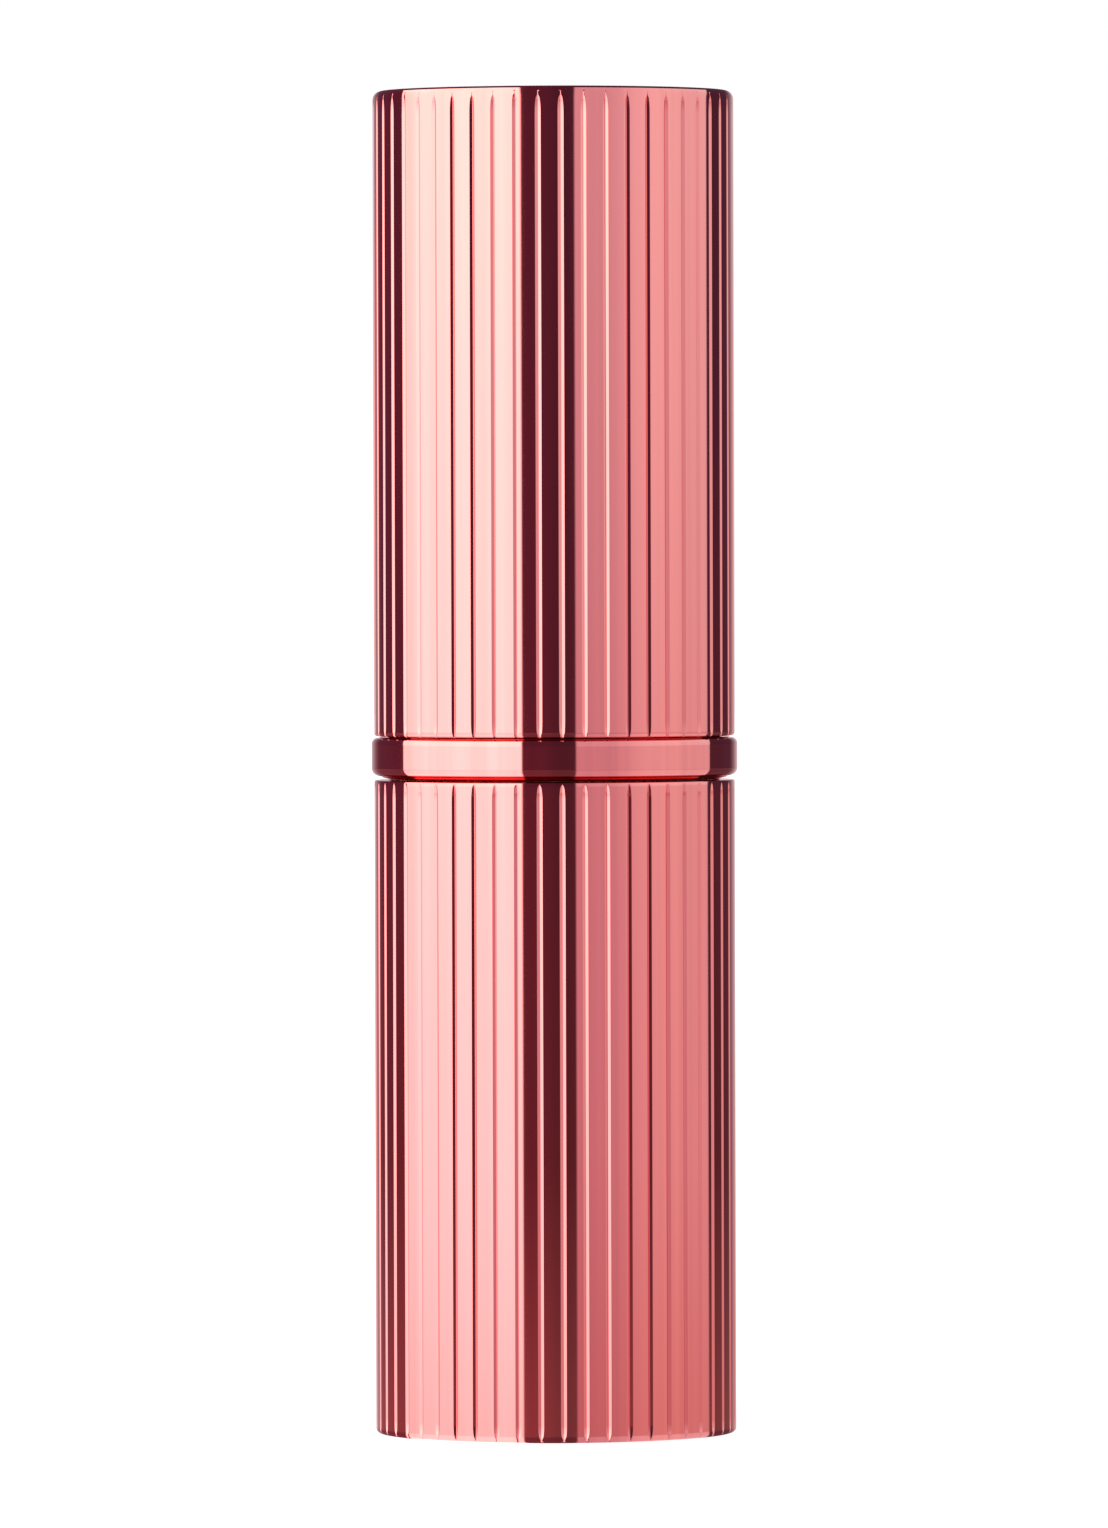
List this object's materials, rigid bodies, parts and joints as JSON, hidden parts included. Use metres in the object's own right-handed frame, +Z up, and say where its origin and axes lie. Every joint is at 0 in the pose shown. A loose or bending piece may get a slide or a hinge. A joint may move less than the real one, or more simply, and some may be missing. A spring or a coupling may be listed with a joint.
{
  "type": "lipstick case",
  "caption": "Round twist-up lipstick case with a finely fluted mirror-metal cap and base, a plain collar ring between them, and the swivel mechanism and lipstick inside.",
  "frame": {"origin": "middle of the foot ring's underside, where the case stands", "axes": "+Z up the case towards the cap; +X through the carrier's two lugs and the high side of the lipstick's slant"},
  "size_m": [0.0205, 0.0204, 0.0751],
  "materials": {
    "rose_gold_shell": "polished",
    "rose_gold_collar": "polished",
    "polished_sleeve": "polished",
    "white_moulding": "satin",
    "natural_acetal": "satin",
    "steel_weight": "satin",
    "black_rubber": "matte",
    "pale_label": "satin",
    "lipstick_wax": "satin"
  },
  "bodies": {
    "base": {"base_shell": "rose_gold_shell", "base_label": "pale_label", "base_weight": "steel_weight", "base_insert": "white_moulding", "slotted_tube": "natural_acetal", "friction_ring": "black_rubber"},
    "sleeve": {"sleeve_tube": "polished_sleeve", "collar_ring": "rose_gold_collar", "helix_tube": "natural_acetal"},
    "cup": {"carrier_cup": "natural_acetal", "lipstick_bullet": "lipstick_wax"},
    "cap": {"cap_shell": "rose_gold_shell", "cap_liner": "white_moulding", "cap_weight": "steel_weight"}
  },
  "joints": [
    {"name": "base_twist", "type": "hinge", "parent": "base", "child": "sleeve", "pos_m": [0, 0, 0], "axis": [0, 0, -1], "range_deg": [0, 450]},
    {"name": "cup_rise", "type": "slide", "parent": "base", "child": "cup", "axis": [0, 0, 1], "range_m": [0, 0.02]},
    {"name": "cap_pull", "type": "slide", "parent": "sleeve", "child": "cap", "axis": [0, 0, 1], "range_m": [0, 0.04]}
  ],
  "couplings": [
    {"joint": "cup_rise", "follows": "base_twist", "m_per_rad": 0.0025465}
  ]
}
